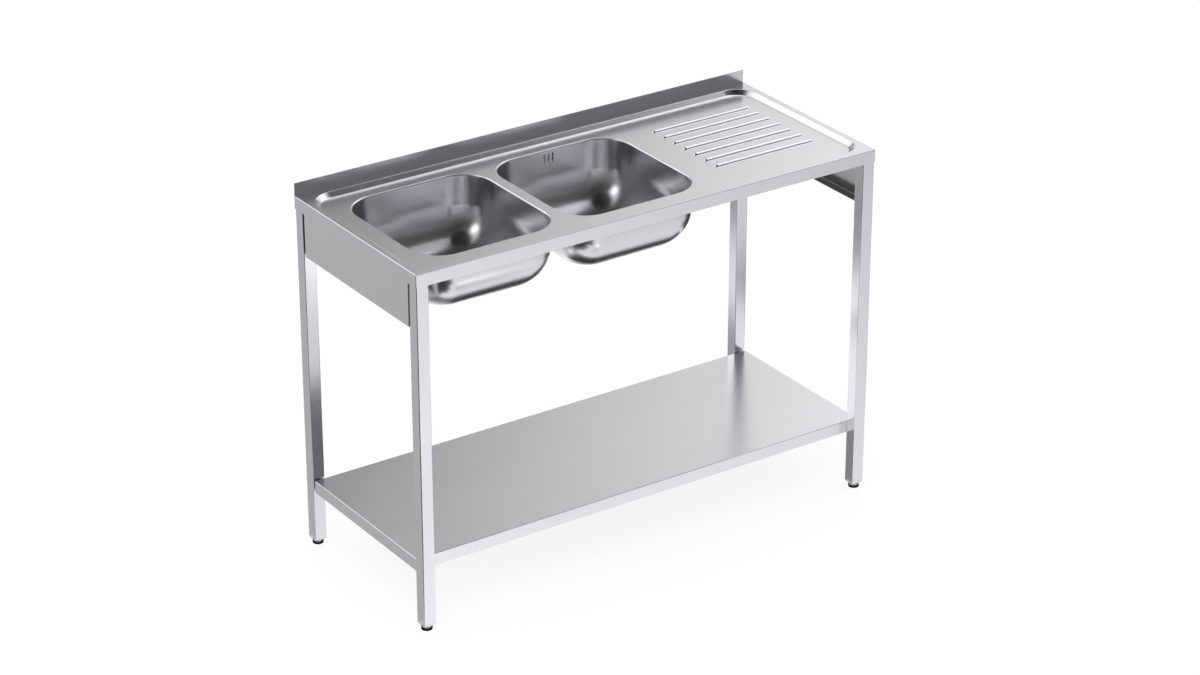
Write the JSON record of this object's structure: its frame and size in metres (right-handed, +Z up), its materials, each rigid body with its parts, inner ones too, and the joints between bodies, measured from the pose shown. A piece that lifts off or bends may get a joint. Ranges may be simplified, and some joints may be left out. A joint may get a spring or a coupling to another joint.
{
  "type": "sink table",
  "caption": "Free-standing stainless steel sink table with pressed bowls, a ribbed drainer, a low rear upstand, an open shelf and screw-adjustable feet.",
  "frame": {"origin": "on the floor, below the middle of the table's bounding box", "axes": "+X to the right along the front, +Y from the front to the wall side, +Z up"},
  "size_m": [1.2, 0.5, 0.88],
  "materials": {
    "satin_steel": "satin brushed",
    "tube_steel": "satin brushed tube",
    "drawn_steel": "polished deep-drawn",
    "inner_steel": "mill finish",
    "fastener_steel": "plain stainless",
    "polished_foot": "polished",
    "polished_waste": "polished",
    "insert_plastic": "moulded black",
    "glide_plastic": "moulded dark grey",
    "waste_plastic": "moulded off-white",
    "seal_rubber": "black rubber"
  },
  "bodies": {
    "table": {"worktop": "satin_steel", "side_panel_left": "satin_steel", "side_panel_right": "satin_steel", "shelf": "satin_steel", "leg_front_left": "tube_steel", "leg_front_right": "tube_steel", "leg_back_left": "tube_steel", "leg_back_right": "tube_steel", "bowl_left": "drawn_steel", "bowl_right": "drawn_steel", "stiffener_centre": "inner_steel", "stiffener_drainer": "inner_steel", "shelf_stiffener": "inner_steel", "corner_bracket_front_left": "inner_steel", "corner_bracket_front_right": "inner_steel", "corner_bracket_back_left": "inner_steel", "corner_bracket_back_right": "inner_steel", "leg_screws": "fastener_steel", "shelf_screws": "fastener_steel", "shelf_spacers": "fastener_steel", "leg_rivet_nuts": "fastener_steel", "waste_screw_left": "fastener_steel", "waste_screw_right": "fastener_steel", "foot_insert_front_left": "insert_plastic", "foot_insert_front_right": "insert_plastic", "foot_insert_back_left": "insert_plastic", "foot_insert_back_right": "insert_plastic", "waste_flange_left": "polished_waste", "waste_seal_upper_left": "seal_rubber", "waste_seal_lower_left": "seal_rubber", "waste_body_left": "waste_plastic", "waste_flange_right": "polished_waste", "waste_seal_upper_right": "seal_rubber", "waste_seal_lower_right": "seal_rubber", "waste_body_right": "waste_plastic", "overflow_seal": "seal_rubber", "overflow_housing": "waste_plastic", "overflow_pipe": "waste_plastic"},
    "glide_front_left": {"foot_glide_front_left": "glide_plastic"},
    "foot_front_left": {"foot_pad_front_left": "polished_foot", "foot_stud_front_left": "fastener_steel"},
    "glide_front_right": {"foot_glide_front_right": "glide_plastic"},
    "foot_front_right": {"foot_pad_front_right": "polished_foot", "foot_stud_front_right": "fastener_steel"},
    "glide_back_left": {"foot_glide_back_left": "glide_plastic"},
    "foot_back_left": {"foot_pad_back_left": "polished_foot", "foot_stud_back_left": "fastener_steel"},
    "glide_back_right": {"foot_glide_back_right": "glide_plastic"},
    "foot_back_right": {"foot_pad_back_right": "polished_foot", "foot_stud_back_right": "fastener_steel"},
    "stopper_left": {"plug_left": "polished_waste", "plug_seal_left": "seal_rubber"},
    "stopper_right": {"plug_right": "polished_waste", "plug_seal_right": "seal_rubber"}
  },
  "joints": [
    {"name": "foot_turn_front_left", "type": "hinge", "parent": "glide_front_left", "child": "foot_front_left", "pos_m": [-0.5838, -0.2338, 0.03], "axis": [0, 0, -1], "range_deg": [0, 3600]},
    {"name": "foot_lift_front_left", "type": "slide", "parent": "table", "child": "glide_front_left", "axis": [0, 0, -1], "range_m": [0, 0.015]},
    {"name": "foot_turn_front_right", "type": "hinge", "parent": "glide_front_right", "child": "foot_front_right", "pos_m": [0.5838, -0.2338, 0.03], "axis": [0, 0, -1], "range_deg": [0, 3600]},
    {"name": "foot_lift_front_right", "type": "slide", "parent": "table", "child": "glide_front_right", "axis": [0, 0, -1], "range_m": [0, 0.015]},
    {"name": "foot_turn_back_left", "type": "hinge", "parent": "glide_back_left", "child": "foot_back_left", "pos_m": [-0.5838, 0.2338, 0.03], "axis": [0, 0, -1], "range_deg": [0, 3600]},
    {"name": "foot_lift_back_left", "type": "slide", "parent": "table", "child": "glide_back_left", "axis": [0, 0, -1], "range_m": [0, 0.015]},
    {"name": "foot_turn_back_right", "type": "hinge", "parent": "glide_back_right", "child": "foot_back_right", "pos_m": [0.5838, 0.2338, 0.03], "axis": [0, 0, -1], "range_deg": [0, 3600]},
    {"name": "foot_lift_back_right", "type": "slide", "parent": "table", "child": "glide_back_right", "axis": [0, 0, -1], "range_m": [0, 0.015]},
    {"name": "stopper_lift_left", "type": "slide", "parent": "table", "child": "stopper_left", "axis": [0, 0, 1], "range_m": [0, 0.17]},
    {"name": "stopper_lift_right", "type": "slide", "parent": "table", "child": "stopper_right", "axis": [0, 0, 1], "range_m": [0, 0.17]}
  ],
  "couplings": [
    {"joint": "foot_turn_front_left", "follows": "foot_lift_front_left", "rad_per_m": 4188.8},
    {"joint": "foot_turn_front_right", "follows": "foot_lift_front_right", "rad_per_m": 4188.8},
    {"joint": "foot_turn_back_left", "follows": "foot_lift_back_left", "rad_per_m": 4188.8},
    {"joint": "foot_turn_back_right", "follows": "foot_lift_back_right", "rad_per_m": 4188.8}
  ]
}
